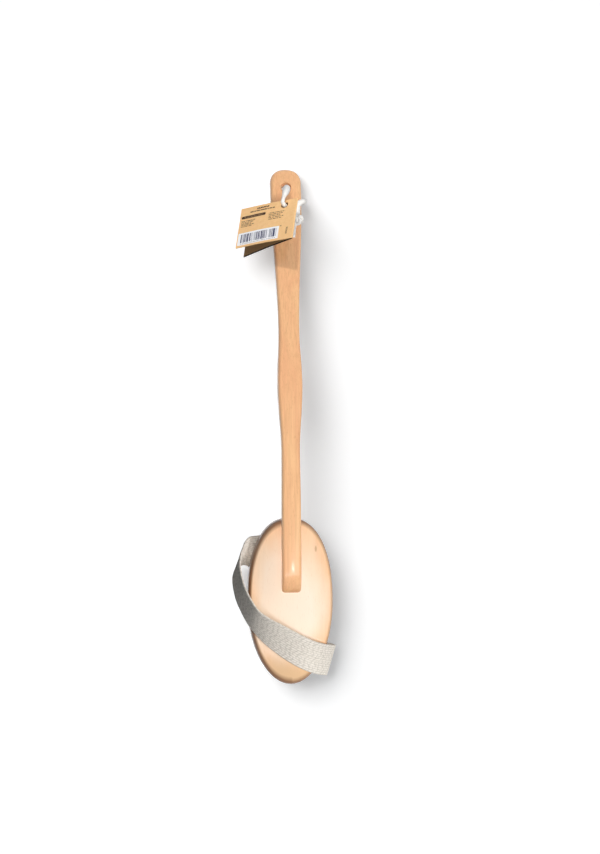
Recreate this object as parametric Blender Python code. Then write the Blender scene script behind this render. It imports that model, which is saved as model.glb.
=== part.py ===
# Wooden bath brush: an oval head full of bristles, a cotton hand strap across its back, a bowed handle
# that slides out of a dovetail in the head, a cotton hanging loop and a folded card tag.
# Metres. The brush lies bristles down on z = 0 with the head's centre over the origin, and the handle
# runs towards +Y. North below means +Y, and left means -X.

import math

import bmesh
import bpy
from mathutils import Matrix, Vector

# Clearances
TOUCH_GAP = 0.0003
DOVETAIL_PLAY = 0.0003

# Head
HEAD_LENGTH = 0.134
HEAD_WIDTH = 0.069
HEAD_EDGE_HEIGHT = 0.0155
HEAD_CROWN = 0.0025
HEAD_TOP_ROUND = 0.004
HEAD_UNDER_ROUND = 0.0015
HEAD_FULLNESS_AT_HANDLE = 2.3
HEAD_FULLNESS_AT_END = 2.0

# Bristles
BRISTLE_LENGTH = 0.018
BRISTLE_BOARD_INSET = 0.0086
BRISTLE_BOARD_THICKNESS = 0.002
TUFT_INSET = 0.0112
TUFT_ROW_SPACING = 0.0059
TUFT_SPACING = 0.0062
STRANDS_PER_TUFT = 3
STRAND_RADIUS = 0.00075
TUFT_ROOT_RADIUS = 0.0009
TUFT_TIP_RADIUS = 0.0016
OUTER_TUFT_LEAN = 0.0012

# Handle
HANDLE_END_Y = 0.0075
HANDLE_TIP_Y = 0.351
HANDLE_TIP_WIDTH = 0.0250
HANDLE_WAIST_WIDTH = 0.0168
HANDLE_SWELL_WIDTH = 0.0198
HANDLE_NECK_WIDTH = 0.0148
HANDLE_SEAT_WIDTH = 0.0154
HANDLE_TIP_THICKNESS = 0.0105
HANDLE_WAIST_THICKNESS = 0.0098
HANDLE_SWELL_THICKNESS = 0.0142
HANDLE_NECK_THICKNESS = 0.0108
HANDLE_SEAT_THICKNESS = 0.0122
TIP_AT_Y = 0.332
WAIST_AT_Y = 0.217
SWELL_AT_Y = 0.175
NECK_AT_Y = 0.120
SEAT_AT_Y = 0.070
HANDLE_EDGE_ROUND = 0.0026
TIP_ROUND_LENGTH = 0.0118
TIP_FULLNESS = 2.3
TIP_REST_FROM_TIP = 0.0019
NOSE_LENGTH = 0.017
NOSE_LIP = 0.003
NOSE_CORNER_LENGTH = 0.0035
HANG_HOLE_RADIUS = 0.0037
HANG_HOLE_FROM_TIP = 0.0162
HANG_HOLE_CHAMFER = 0.0008

# Dovetail under the handle's end
TONGUE_LENGTH = 0.042
TONGUE_DEPTH = 0.0052
TONGUE_NECK_WIDTH = 0.0066
TONGUE_BASE_WIDTH = 0.0092

# Strap: stations along its centre line. Across and along are shares of the head's half width and half
# length, and rise is 0 at the head's underside and 1 on its crown. The heading of the strap's width
# turns from north towards east, in degrees, and its tilt lifts the edge on that side.
STRAP_WIDTH = 0.026
STRAP_THICKNESS = 0.0016
STRAP_END_INSET = 0.0072
STRAP_STATIONS = (
    (-0.85, 0.583, 0.00, -6, 0),
    (-0.94, 0.571, 0.00, -7, 21),
    (-1.02, 0.56, 0.01, -7, 42),
    (-1.105, 0.53, 0.07, 2, 53),
    (-1.19, 0.478, 0.19, 12, 57),
    (-1.25, 0.36, 0.44, 19, 58),
    (-1.225, 0.215, 0.70, 22, 58),
    (-1.155, 0.08, 0.94, 24, 58),
    (-1.035, -0.055, 1.145, 25, 57),
    (-0.88, -0.185, 1.32, 28, 55),
    (-0.67, -0.287, 1.41, 31, 47),
    (-0.435, -0.379, 1.445, 32, 37),
    (-0.18, -0.466, 1.44, 33, 29),
    (0.08, -0.551, 1.41, 32, 23),
    (0.335, -0.622, 1.30, 30, 17),
    (0.57, -0.674, 1.055, 26, 9),
    (0.765, -0.708, 0.67, 21, 3),
    (0.92, -0.73, 0.28, 18, 1),
    (0.97, -0.739, 0.08, 17, 0),
    (0.92, -0.73, -0.09, 17, 0),
    (0.80, -0.708, 0.00, 17, 0),
)
STRAP_STEPS = 3
STRAP_COLUMNS = 4

# Tacks that hold the strap's ends under the rim
TACK_INSET = 0.0042
TACK_SPREAD = 0.30
TACK_HEAD_RADIUS = 0.0024
TACK_HEAD_HEIGHT = 0.0010
TACK_SHANK_RADIUS = 0.0008
TACK_LENGTH = 0.0090
TACK_POINT_LENGTH = 0.0020

# Hanging cord. Each point is its place across, its distance from the handle's tip and its height above
# the middle of the handle's thickness. The route starts at the knot on the handle's front, goes round
# the right edge and up through the hole, then through the tag and back to the knot.
CORD_DIAMETER = 0.0036
CORD_ROUTE = (
    (0.0087, 0.0388, 0.0083),
    (0.0085, 0.0350, 0.0082),
    (0.0089, 0.0309, 0.0079),
    (0.0107, 0.0284, 0.0080),
    (0.0130, 0.0275, 0.0071),
    (0.0147, 0.0272, 0.0040),
    (0.0151, 0.0269, 0.0000),
    (0.0144, 0.0263, -0.0045),
    (0.0115, 0.0250, -0.0073),
    (0.0074, 0.0226, -0.0078),
    (0.0032, 0.0191, -0.0073),
    (0.0008, 0.0165, -0.0049),
    (0.0000, 0.0156, 0.0002),
    (-0.0001, 0.0156, 0.0064),
    (-0.0002, 0.0164, 0.0127),
    (-0.0009, 0.0184, 0.0186),
    (-0.0023, 0.0220, 0.0237),
    (-0.0040, 0.0260, 0.0267),
    (-0.0049, 0.0294, 0.0269),
    (-0.0040, 0.0314, 0.0251),
    (-0.0026, 0.0327, 0.0227),
    (-0.0010, 0.0343, 0.0195),
    (0.0013, 0.0365, 0.0158),
    (0.0036, 0.0384, 0.0127),
    (0.0055, 0.0398, 0.0105),
)
CORD_STEPS = 2
KNOT_PLACE = (0.0088, 0.0423, 0.0091)
KNOT_RADIUS = 0.0033
KNOT_LUMPS = 0.12
TAIL_ROUTE = (
    (0.0073, 0.0437, 0.0086),
    (0.0060, 0.0472, 0.0084),
    (0.0053, 0.0511, 0.0084),
    (0.0050, 0.0556, 0.0086),
)

# Tag: a card folded along its right edge, both leaves threaded on the cord
TAG_WIDTH = 0.0495
TAG_HEIGHT = 0.0408
TAG_THICKNESS = 0.0005
TAG_OPENING = 13.3
TAG_YAW = 11.0
TAG_PITCH = 32.5
TAG_ROLL = 33.8
TAG_CORNER_X = 0.0071
TAG_CORNER_FROM_TIP = 0.0268
TAG_HOLE_RADIUS = 0.0032
TAG_HOLE_FROM_FOLD = 0.0105
TAG_HOLE_FROM_TOP = 0.0048
TAG_LEAN_GAP = 0.0017

# Heights that follow from the sizes above
UNDERSIDE_Z = BRISTLE_LENGTH
EDGE_Z = UNDERSIDE_Z + HEAD_EDGE_HEIGHT
CROWN_Z = EDGE_Z + HEAD_CROWN
SEAT_Z = CROWN_Z + TOUCH_GAP
SEAT_CENTRE_Z = SEAT_Z + HANDLE_SEAT_THICKNESS / 2
HANDLE_DROP = SEAT_CENTRE_Z - HANDLE_TIP_THICKNESS / 2
BOW_LENGTH = HANDLE_TIP_Y - TIP_REST_FROM_TIP - SEAT_AT_Y
BOW_RADIUS = (BOW_LENGTH ** 2 + HANDLE_DROP ** 2) / (2 * HANDLE_DROP)

OUTLINE_POINTS = 56


def clear_scene():
    for item in list(bpy.data.objects):
        bpy.data.objects.remove(item, do_unlink=True)


def finish(name, colour, roughness, metallic=0.0):
    material = bpy.data.materials.new(name)
    material.use_nodes = True
    shader = material.node_tree.nodes["Principled BSDF"]
    shader.inputs["Base Color"].default_value = (*colour, 1.0)
    shader.inputs["Roughness"].default_value = roughness
    shader.inputs["Metallic"].default_value = metallic
    return material


def add_mesh(name, bm, material=None, origin=(0, 0, 0), sharp_angle=35):
    """Turn a bmesh in world coordinates into an object whose origin is at the given point."""
    bmesh.ops.recalc_face_normals(bm, faces=bm.faces[:])
    bmesh.ops.translate(bm, verts=bm.verts[:], vec=-Vector(origin))
    mesh = bpy.data.meshes.new(name)
    bm.to_mesh(mesh)
    bm.free()
    mesh.shade_smooth()
    mesh.set_sharp_from_angle(angle=math.radians(sharp_angle))
    thing = bpy.data.objects.new(name, mesh)
    thing.location = origin
    if material:
        mesh.materials.append(material)
    bpy.context.scene.collection.objects.link(thing)
    return thing


def add_cutter(name, bm):
    cutter = add_mesh(name, bm)
    cutter.hide_render = True
    cutter.display_type = "WIRE"
    return cutter


def combine(target, tool, operation):
    step = target.modifiers.new(tool.name, "BOOLEAN")
    step.operation = operation
    step.solver = "EXACT"
    step.object = tool


def loft(rings):
    """Close a stack of rings of equal point count into one body, with a face across each end."""
    bm = bmesh.new()
    rows = [[bm.verts.new(point) for point in ring] for ring in rings]
    count = len(rows[0])
    for low, high in zip(rows, rows[1:]):
        for i in range(count):
            j = (i + 1) % count
            bm.faces.new((low[i], low[j], high[j], high[i]))
    bm.faces.new(rows[0])
    bm.faces.new(rows[-1])
    return bm


def turned(profile, centre, axis, sides):
    """Spin a list of (radius, height) pairs about an axis through the centre."""
    along = Vector(axis).normalized()
    turn = along.to_track_quat("Z", "Y")
    rings = []
    for radius, height in profile:
        ring = []
        for k in range(sides):
            angle = 2 * math.pi * k / sides
            ring.append(Vector(centre) + turn @ Vector((radius * math.cos(angle), radius * math.sin(angle), height)))
        rings.append(ring)
    return loft(rings)


def smooth_path(points, steps):
    """Catmull-Rom curve through the points, with a number of steps in each span."""
    knots = [Vector(p) for p in points]
    knots = [2 * knots[0] - knots[1]] + knots + [2 * knots[-1] - knots[-2]]
    path = []
    for a, b, c, d in zip(knots, knots[1:], knots[2:], knots[3:]):
        for k in range(steps):
            t = k / steps
            path.append(0.5 * (2 * b + (c - a) * t + (2 * a - 5 * b + 4 * c - d) * t ** 2
                               + (3 * b - a - 3 * c + d) * t ** 3))
    path.append(knots[-2])
    return path


# The head's outline, an oval that is fuller where the handle enters

def outline_level(x, y, inset):
    """Below 1 inside the head's outline moved inwards by the inset, 1 on it, above 1 outside."""
    power = HEAD_FULLNESS_AT_HANDLE if y > 0 else HEAD_FULLNESS_AT_END
    half_width = HEAD_WIDTH / 2 - inset
    half_length = HEAD_LENGTH / 2 - inset
    return abs(x / half_width) ** power + abs(y / half_length) ** power


def outline_ring(inset, z, count=OUTLINE_POINTS):
    ring = []
    for k in range(count):
        angle = 2 * math.pi * k / count
        c, s = math.cos(angle), math.sin(angle)
        power = HEAD_FULLNESS_AT_HANDLE if s > 0 else HEAD_FULLNESS_AT_END
        x = (HEAD_WIDTH / 2 - inset) * math.copysign(abs(c) ** (2 / power), c)
        y = (HEAD_LENGTH / 2 - inset) * math.copysign(abs(s) ** (2 / power), s)
        ring.append(Vector((x, y, z)))
    return ring


def spaced_round(inset, spacing):
    """Points evenly spaced round the inset outline, as near to the spacing as a whole number allows."""
    fine = outline_ring(inset, 0.0, 720)
    fine.append(fine[0])
    lengths = [0.0]
    for a, b in zip(fine, fine[1:]):
        lengths.append(lengths[-1] + (b - a).length)
    count = round(lengths[-1] / spacing)
    points = []
    k = 0
    for i in range(count):
        target = lengths[-1] * i / count
        while lengths[k + 1] < target:
            k += 1
        share = (target - lengths[k]) / (lengths[k + 1] - lengths[k])
        points.append(fine[k].lerp(fine[k + 1], share))
    return points


def reach_outline(start, heading, inset):
    """The point where a level line from the start, going along the heading, enters the inset outline,
    or where it comes nearest to it."""
    stride = TOUCH_GAP / 10
    nearest, lowest = Vector(start), math.inf
    for k in range(int(HEAD_WIDTH / stride)):
        point = start + k * stride * heading
        level = outline_level(point.x, point.y, inset)
        if level < lowest:
            nearest, lowest = point, level
        if level <= 1:
            break
    return nearest


def make_head(material):
    """A block with a rounded rim and a low crown, a pocket for the bristles and a slot for the handle."""
    profile = []
    for k in range(3):
        angle = math.pi / 2 * k / 2
        profile.append((HEAD_UNDER_ROUND * (1 - math.sin(angle)), UNDERSIDE_Z + HEAD_UNDER_ROUND * (1 - math.cos(angle))))
    for k in range(5):
        angle = math.pi / 2 * k / 4
        profile.append((HEAD_TOP_ROUND * (1 - math.cos(angle)), EDGE_Z - HEAD_TOP_ROUND * (1 - math.sin(angle))))
    crown_reach = HEAD_WIDTH / 2 - HEAD_TOP_ROUND
    for share in (0.2, 0.45, 0.7, 0.95):
        profile.append((HEAD_TOP_ROUND + crown_reach * share, EDGE_Z + HEAD_CROWN * (1 - (1 - share) ** 2)))
    head = add_mesh("head", loft([outline_ring(inset, z) for inset, z in profile]), material)

    pocket_top = UNDERSIDE_Z + BRISTLE_BOARD_THICKNESS + TOUCH_GAP
    pocket_inset = BRISTLE_BOARD_INSET - TOUCH_GAP
    pocket = loft([outline_ring(pocket_inset, UNDERSIDE_Z - 0.002), outline_ring(pocket_inset, pocket_top)])
    combine(head, add_cutter("pocket_cutter", pocket), "DIFFERENCE")

    slot_end = HANDLE_END_Y + NOSE_CORNER_LENGTH + TOUCH_GAP
    slot = dovetail(slot_end, HEAD_LENGTH / 2 + 0.005, DOVETAIL_PLAY, CROWN_Z + 0.002)
    combine(head, add_cutter("slot_cutter", slot), "DIFFERENCE")
    return head


def dovetail(y_low, y_high, play, top_z):
    """A bar with the tongue's section, grown by the play, whose neck runs up to the top height."""
    floor_z = SEAT_Z - TONGUE_DEPTH - play
    neck = TONGUE_NECK_WIDTH / 2 + play
    base = TONGUE_BASE_WIDTH / 2 + play
    section = ((-base, floor_z), (base, floor_z), (neck, SEAT_Z), (neck, top_z), (-neck, top_z), (-neck, SEAT_Z))
    return loft([[Vector((x, y, z)) for x, z in section] for y in (y_low, y_high)])


def tuft_places():
    """Each tuft's centre, turn and outward lean: the first one puts a tip on the origin, the next ones
    stand in oval rows from the rim inwards, and the last ones along the middle. A place too near to an
    earlier one is left out."""
    clear = 2 * (TUFT_TIP_RADIUS + STRAND_RADIUS)
    places = [(Vector((0, -TUFT_TIP_RADIUS, 0)), 0.0)]
    inset = TUFT_INSET
    while HEAD_WIDTH / 2 - inset > clear:
        lean = OUTER_TUFT_LEAN * (HEAD_WIDTH / 2 - inset) / (HEAD_WIDTH / 2 - TUFT_INSET)
        places += [(point, lean) for point in spaced_round(inset, TUFT_SPACING)]
        inset += TUFT_ROW_SPACING
    half_count = int((HEAD_LENGTH / 2 - inset) / TUFT_SPACING)
    for k in range(-half_count, half_count + 1):
        places.append((Vector((0, k * TUFT_SPACING - TUFT_TIP_RADIUS, 0)), 0.0))
    kept = []
    for centre, lean in places:
        if all((centre - other).length > clear for other, _, _ in kept):
            kept.append((centre, math.pi / 2 + 2.4 * len(kept), lean))
    return kept


def make_bristles(material):
    """Tufts of three straight strands of three sides that spread towards the tips, fused to the board
    that fills the head's pocket. The tips are trimmed flat at z = 0."""
    bm = bmesh.new()
    rim_low = [bm.verts.new(p) for p in outline_ring(BRISTLE_BOARD_INSET, UNDERSIDE_Z)]
    rim_high = [bm.verts.new(p) for p in outline_ring(BRISTLE_BOARD_INSET, UNDERSIDE_Z + BRISTLE_BOARD_THICKNESS)]
    edges = [bm.edges.new((a, b)) for a, b in zip(rim_low, rim_low[1:] + rim_low[:1])]
    roots = []
    for centre, turn, lean in tuft_places():
        outward = Vector((centre.x / HEAD_WIDTH, centre.y / HEAD_LENGTH, 0))
        shift = outward.normalized() * lean if outward.length > 0 else Vector()
        for strand in range(STRANDS_PER_TUFT):
            angle = 2 * math.pi * strand / STRANDS_PER_TUFT + turn
            spoke = Vector((math.cos(angle), math.sin(angle), 0))
            root = Vector((centre.x, centre.y, UNDERSIDE_Z)) + spoke * TUFT_ROOT_RADIUS
            tip = Vector((centre.x, centre.y, 0)) + spoke * TUFT_TIP_RADIUS + shift
            corners = [Vector((math.cos(angle + a), math.sin(angle + a), 0)) * STRAND_RADIUS
                       for a in (0, 2 * math.pi / 3, 4 * math.pi / 3)]
            low = [bm.verts.new(root + corner) for corner in corners]
            edges += [bm.edges.new((a, b)) for a, b in zip(low, low[1:] + low[:1])]
            roots.append((low, [tip + corner for corner in corners]))
    bmesh.ops.triangle_fill(bm, edges=edges, use_beauty=True, normal=(0, 0, -1))
    for low, tips in roots:
        high = [bm.verts.new(p) for p in tips]
        for i in range(3):
            j = (i + 1) % 3
            bm.faces.new((low[i], low[j], high[j], high[i]))
        bm.faces.new(high)
    for i in range(OUTLINE_POINTS):
        j = (i + 1) % OUTLINE_POINTS
        bm.faces.new((rim_low[i], rim_low[j], rim_high[j], rim_high[i]))
    bm.faces.new(rim_high)
    return add_mesh("bristle_field", bm, material)


# The handle's plan, thickness and bow

def eased(y, low_y, high_y, low, high):
    """Cosine ease from the low value to the high one."""
    share = min(max((y - low_y) / (high_y - low_y), 0), 1)
    return low + (high - low) * (1 - math.cos(math.pi * share)) / 2


def along_handle(y, seat, neck, swell, waist, tip):
    """A size that eases from one named place along the handle to the next."""
    if y < NECK_AT_Y:
        return eased(y, SEAT_AT_Y, NECK_AT_Y, seat, neck)
    if y < SWELL_AT_Y:
        return eased(y, NECK_AT_Y, SWELL_AT_Y, neck, swell)
    if y < WAIST_AT_Y:
        return eased(y, SWELL_AT_Y, WAIST_AT_Y, swell, waist)
    return eased(y, WAIST_AT_Y, TIP_AT_Y, waist, tip)


def handle_width(y):
    width = along_handle(y, HANDLE_SEAT_WIDTH, HANDLE_NECK_WIDTH, HANDLE_SWELL_WIDTH, HANDLE_WAIST_WIDTH,
                         HANDLE_TIP_WIDTH)
    from_tip = HANDLE_TIP_Y - y
    if from_tip < TIP_ROUND_LENGTH:
        width *= (1 - (1 - from_tip / TIP_ROUND_LENGTH) ** TIP_FULLNESS) ** (1 / TIP_FULLNESS)
    from_end = y - HANDLE_END_Y
    if from_end < NOSE_CORNER_LENGTH:
        width *= 0.72 + 0.28 * (1 - (1 - from_end / NOSE_CORNER_LENGTH) ** 2) ** 0.5
    return width


def handle_thickness(y):
    return along_handle(y, HANDLE_SEAT_THICKNESS, HANDLE_NECK_THICKNESS, HANDLE_SWELL_THICKNESS,
                        HANDLE_WAIST_THICKNESS, HANDLE_TIP_THICKNESS)


def handle_centre_z(y):
    """Level over the head, then an arc that brings the tip down to the table."""
    run = max(y - SEAT_AT_Y, 0)
    return SEAT_CENTRE_Z - (BOW_RADIUS - math.sqrt(BOW_RADIUS ** 2 - run ** 2))


def handle_top_z(y):
    return handle_centre_z(y) + handle_thickness(y) / 2


def handle_slope(y):
    return math.asin(max(y - SEAT_AT_Y, 0) / BOW_RADIUS)


def along_handle_point(place):
    """The point for a place across, a distance from the tip and a height above the handle's middle."""
    across, from_tip, height = place
    y = HANDLE_TIP_Y - from_tip
    return Vector((across, y, handle_centre_z(y) + height))


def handle_section(y):
    """A rounded rectangle across the handle, thinner at the tip's rounded rim and under the nose's curve."""
    width = handle_width(y)
    thickness = handle_thickness(y)
    low = handle_centre_z(y) - thickness / 2
    high = low + thickness
    from_tip = HANDLE_TIP_Y - y
    if from_tip < HANDLE_EDGE_ROUND:
        drop = HANDLE_EDGE_ROUND - math.sqrt(HANDLE_EDGE_ROUND ** 2 - (HANDLE_EDGE_ROUND - from_tip) ** 2)
        low += drop
        high -= drop
    from_end = y - HANDLE_END_Y
    if from_end < NOSE_LENGTH:
        share = 1 - from_end / NOSE_LENGTH
        high = low + NOSE_LIP + (thickness - NOSE_LIP) * math.sqrt(1 - share ** 2)
    corner = min(HANDLE_EDGE_ROUND, 0.45 * (high - low), 0.45 * width)
    ring = []
    for across, up, start in ((1, 1, 0), (-1, 1, 90), (-1, -1, 180), (1, -1, 270)):
        centre_x = across * (width / 2 - corner)
        centre_z = (high - corner) if up > 0 else (low + corner)
        for k in range(4):
            angle = math.radians(start + 30 * k)
            ring.append(Vector((centre_x + corner * math.cos(angle), y, centre_z + corner * math.sin(angle))))
    return ring


def handle_stations():
    """Places along the handle, close together where its ends curve."""
    near_end = [HANDLE_END_Y + NOSE_LENGTH * share for share in (0, 0.05, 0.12, 0.25, 0.4, 0.6, 0.8, 1)]
    near_tip = [HANDLE_TIP_Y - TIP_ROUND_LENGTH * share for share in (1, 0.75, 0.5, 0.3, 0.16, 0.07, 0.02)]
    spans = 26
    between = [near_end[-1] + (near_tip[0] - near_end[-1]) * k / spans for k in range(1, spans)]
    return near_end + between + near_tip


def make_handle(material):
    """A bowed bar with a hand swell, a hanging hole near its rounded tip and a dovetail tongue below."""
    handle = add_mesh("handle", loft([handle_section(y) for y in handle_stations()]), material)

    tongue_low = HANDLE_END_Y + NOSE_CORNER_LENGTH + 2 * TOUCH_GAP
    tongue_top = SEAT_Z + HANDLE_EDGE_ROUND
    tongue = dovetail(tongue_low, tongue_low + TONGUE_LENGTH, 0.0, tongue_top)
    combine(handle, add_cutter("tongue_guide", tongue), "UNION")

    hole_y = HANDLE_TIP_Y - HANG_HOLE_FROM_TIP
    slope = handle_slope(hole_y)
    axis = (0, math.sin(slope), math.cos(slope))
    straight = HANDLE_TIP_THICKNESS / 2 * math.cos(slope) - HANG_HOLE_CHAMFER
    beyond = 3 * HANG_HOLE_CHAMFER
    profile = (
        (HANG_HOLE_RADIUS + beyond, -straight - beyond),
        (HANG_HOLE_RADIUS, -straight),
        (HANG_HOLE_RADIUS, straight),
        (HANG_HOLE_RADIUS + beyond, straight + beyond),
    )
    hole = turned(profile, along_handle_point((0, HANG_HOLE_FROM_TIP, 0)), axis, 20)
    combine(handle, add_cutter("hole_cutter", hole), "DIFFERENCE")
    return handle


# The strap and its tacks

def strap_rows():
    """Rows of points across the strap, from its lower edge to its upper one. The ends run on under the
    head as far as the trimming line along the rim."""
    level = UNDERSIDE_Z - TOUCH_GAP - STRAP_THICKNESS / 2
    crest = CROWN_Z + TOUCH_GAP + STRAP_THICKNESS / 2
    middle, across = [], []
    for share_x, share_y, rise, heading, tilt in STRAP_STATIONS:
        turn, lift = math.radians(heading), math.radians(tilt)
        middle.append(Vector((share_x * HEAD_WIDTH / 2, share_y * HEAD_LENGTH / 2, level + rise * (crest - level))))
        across.append(Vector((math.cos(lift) * math.sin(turn), math.cos(lift) * math.cos(turn), math.sin(lift))))
    rows = []
    for point, direction in zip(smooth_path(middle, STRAP_STEPS), smooth_path(across, STRAP_STEPS)):
        reach = STRAP_WIDTH * direction.normalized()
        rows.append([point + reach * (k / STRAP_COLUMNS - 0.5) for k in range(STRAP_COLUMNS + 1)])
    first_end = trimmed_end(rows[0], -1)
    last_end = trimmed_end(rows[-1], 1)
    return [first_end] + rows + [last_end]


def trimmed_end(row, sign):
    """The row moved under the head, square to itself, until each point meets the trimming line."""
    width = (row[-1] - row[0]).normalized()
    inward = sign * Vector((-width.y, width.x, 0))
    return [reach_outline(point, inward, STRAP_END_INSET) for point in row]


def make_strap(material):
    """A flat band of even width and thickness that twists up past the left rim and over the head."""
    rows = strap_rows()
    last = len(rows) - 1
    bm = bmesh.new()
    near_side, far_side = [], []
    for k, row in enumerate(rows):
        run = sum(rows[min(k + 1, last)], Vector()) - sum(rows[max(k - 1, 0)], Vector())
        face = run.cross(row[-1] - row[0]).normalized() * (STRAP_THICKNESS / 2)
        near_side.append([bm.verts.new(point - face) for point in row])
        far_side.append([bm.verts.new(point + face) for point in row])
    for side in (near_side, far_side):
        for low, high in zip(side, side[1:]):
            for i in range(STRAP_COLUMNS):
                bm.faces.new((low[i], low[i + 1], high[i + 1], high[i]))
    for k in range(last):
        for i in (0, STRAP_COLUMNS):
            bm.faces.new((near_side[k][i], near_side[k + 1][i], far_side[k + 1][i], far_side[k][i]))
    for k in (0, last):
        for i in range(STRAP_COLUMNS):
            bm.faces.new((near_side[k][i], near_side[k][i + 1], far_side[k][i + 1], far_side[k][i]))
    strap = add_mesh("strap", bm, material, sharp_angle=50)
    for name, spot in tack_places():
        reach = STRAP_THICKNESS
        hole = turned(((TACK_SHANK_RADIUS + TOUCH_GAP, -reach), (TACK_SHANK_RADIUS + TOUCH_GAP, reach)),
                      (spot.x, spot.y, UNDERSIDE_Z - TOUCH_GAP - STRAP_THICKNESS / 2), (0, 0, 1), 8)
        combine(strap, add_cutter("strap_hole_" + name, hole), "DIFFERENCE")
    return strap


def tack_places():
    """Two tacks for each end of the strap, side by side under the rim."""
    rows = strap_rows()
    places = []
    for side, end, loose in (("left", rows[0], rows[1]), ("right", rows[-1], rows[-2])):
        for name, share in (("far", TACK_SPREAD), ("near", 1 - TACK_SPREAD)):
            start = loose[0].lerp(loose[-1], share)
            heading = (end[0] - loose[0]).normalized()
            places.append((side + "_" + name, reach_outline(start, heading, TACK_INSET)))
    return places


def make_tacks(head, material):
    """Domed tacks driven up through the strap into the head, each in its own hole."""
    seat = UNDERSIDE_Z - 2 * TOUCH_GAP - STRAP_THICKNESS
    profile = [
        (TACK_HEAD_RADIUS * 0.45, -TACK_HEAD_HEIGHT),
        (TACK_HEAD_RADIUS * 0.85, -TACK_HEAD_HEIGHT * 0.65),
        (TACK_HEAD_RADIUS, 0.0),
        (TACK_SHANK_RADIUS, 0.0),
        (TACK_SHANK_RADIUS, TACK_LENGTH - TACK_POINT_LENGTH),
        (TACK_SHANK_RADIUS * 0.15, TACK_LENGTH),
    ]
    for name, spot in tack_places():
        centre = Vector((spot.x, spot.y, seat))
        tack = turned([(r, h) for r, h in profile], centre, (0, 0, 1), 12)
        add_mesh("tack_" + name, tack, material, origin=centre)
        depth = TACK_LENGTH + 2 * TOUCH_GAP
        hole = turned(((TACK_SHANK_RADIUS + TOUCH_GAP, 0.0), (TACK_SHANK_RADIUS + TOUCH_GAP, depth)),
                      centre, (0, 0, 1), 8)
        combine(head, add_cutter("tack_hole_" + name, hole), "DIFFERENCE")


# The cord and its knot

def make_cord(material):
    route = bpy.data.curves.new("hanging_cord", "CURVE")
    route.dimensions = "3D"
    route.bevel_depth = CORD_DIAMETER / 2
    route.bevel_resolution = 2
    route.use_fill_caps = True
    points = smooth_path([along_handle_point(place) for place in CORD_ROUTE], CORD_STEPS)
    spline = route.splines.new("POLY")
    spline.points.add(len(points) - 1)
    for slot, point in zip(spline.points, points):
        slot.co = (*point, 1.0)
    cord = bpy.data.objects.new("hanging_cord", route)
    route.materials.append(material)
    bpy.context.scene.collection.objects.link(cord)
    return cord


def make_knot(material):
    """A lumpy round knot that holds both ends of the cord, with the short tail below it."""
    centre = along_handle_point(KNOT_PLACE)
    rows, sides = 9, 12
    rings = []
    for i in range(1, rows):
        polar = math.pi * i / rows
        ring = []
        for k in range(sides):
            around = 2 * math.pi * k / sides
            radius = KNOT_RADIUS * (1 + KNOT_LUMPS * math.cos(2 * around + 3 * polar) * math.sin(polar))
            ring.append(centre + radius * Vector((math.sin(polar) * math.cos(around),
                                                  math.cos(polar),
                                                  math.sin(polar) * math.sin(around))))
        rings.append(ring)
    knot = add_mesh("cord_knot", loft(rings), material, origin=centre)

    tail_rings = []
    path = smooth_path([along_handle_point(place) for place in TAIL_ROUTE], 2)
    for k, point in enumerate(path):
        run = path[min(k + 1, len(path) - 1)] - path[max(k - 1, 0)]
        turn = run.normalized().to_track_quat("Z", "Y")
        ring = []
        for i in range(8):
            angle = 2 * math.pi * i / 8
            ring.append(point + turn @ Vector((math.cos(angle), math.sin(angle), 0)) * (CORD_DIAMETER / 2))
        tail_rings.append(ring)
    combine(knot, add_cutter("tail_guide", loft(tail_rings)), "UNION")
    return knot


# The tag

def tag_frame():
    """The fold's top corner and four directions: down the fold, across each leaf and out of its front.
    The height is set so that the rear leaf leans on the handle's upper left edge with a small gap."""
    yaw, pitch, roll = math.radians(TAG_YAW), math.radians(TAG_PITCH), math.radians(TAG_ROLL)
    down = Vector((-math.sin(yaw) * math.cos(pitch), -math.cos(yaw) * math.cos(pitch), math.sin(pitch)))
    level = Vector((down.y, -down.x, 0)).normalized()
    front = Matrix.Rotation(roll, 3, down) @ level
    rear = Matrix.Rotation(roll + math.radians(TAG_OPENING), 3, down) @ level
    rear_face = rear.cross(down)
    corner = Vector((TAG_CORNER_X, HANDLE_TIP_Y - TAG_CORNER_FROM_TIP, 0))
    lean = HANDLE_EDGE_ROUND + TAG_THICKNESS + TAG_LEAN_GAP
    height = -1.0
    for k in range(61):
        y = corner.y - 0.005 - TAG_HEIGHT * k / 60
        ridge = Vector((HANDLE_EDGE_ROUND - handle_width(y) / 2, y, handle_top_z(y) - HANDLE_EDGE_ROUND))
        height = max(height, (lean + (ridge - corner).dot(rear_face)) / rear_face.z)
    corner.z = height
    return corner, down, front, rear


def make_leaf(name, corner, down, across, side, material):
    """One leaf of the card, set off from the fold's axis by half the fold's gap and half its thickness."""
    face = across.cross(down) * side
    start = corner + face * (TOUCH_GAP / 2)
    ring = []
    for a, d in ((0, 0), (TAG_WIDTH, 0), (TAG_WIDTH, TAG_HEIGHT), (0, TAG_HEIGHT)):
        ring.append(start + across * a + down * d)
    leaf = add_mesh(name, loft([ring, [p + face * TAG_THICKNESS for p in ring]]), material, origin=corner)
    centre = start + across * TAG_HOLE_FROM_FOLD + down * TAG_HOLE_FROM_TOP
    reach = 4 * TAG_THICKNESS
    hole = turned(((TAG_HOLE_RADIUS, -reach), (TAG_HOLE_RADIUS, reach)), centre, face, 16)
    combine(leaf, add_cutter(name + "_hole", hole), "DIFFERENCE")
    return leaf


def make_tag(material):
    corner, down, front, rear = tag_frame()
    make_leaf("tag_front_leaf", corner, down, front, 1, material)
    make_leaf("tag_rear_leaf", corner, down, rear, -1, material)


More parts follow.
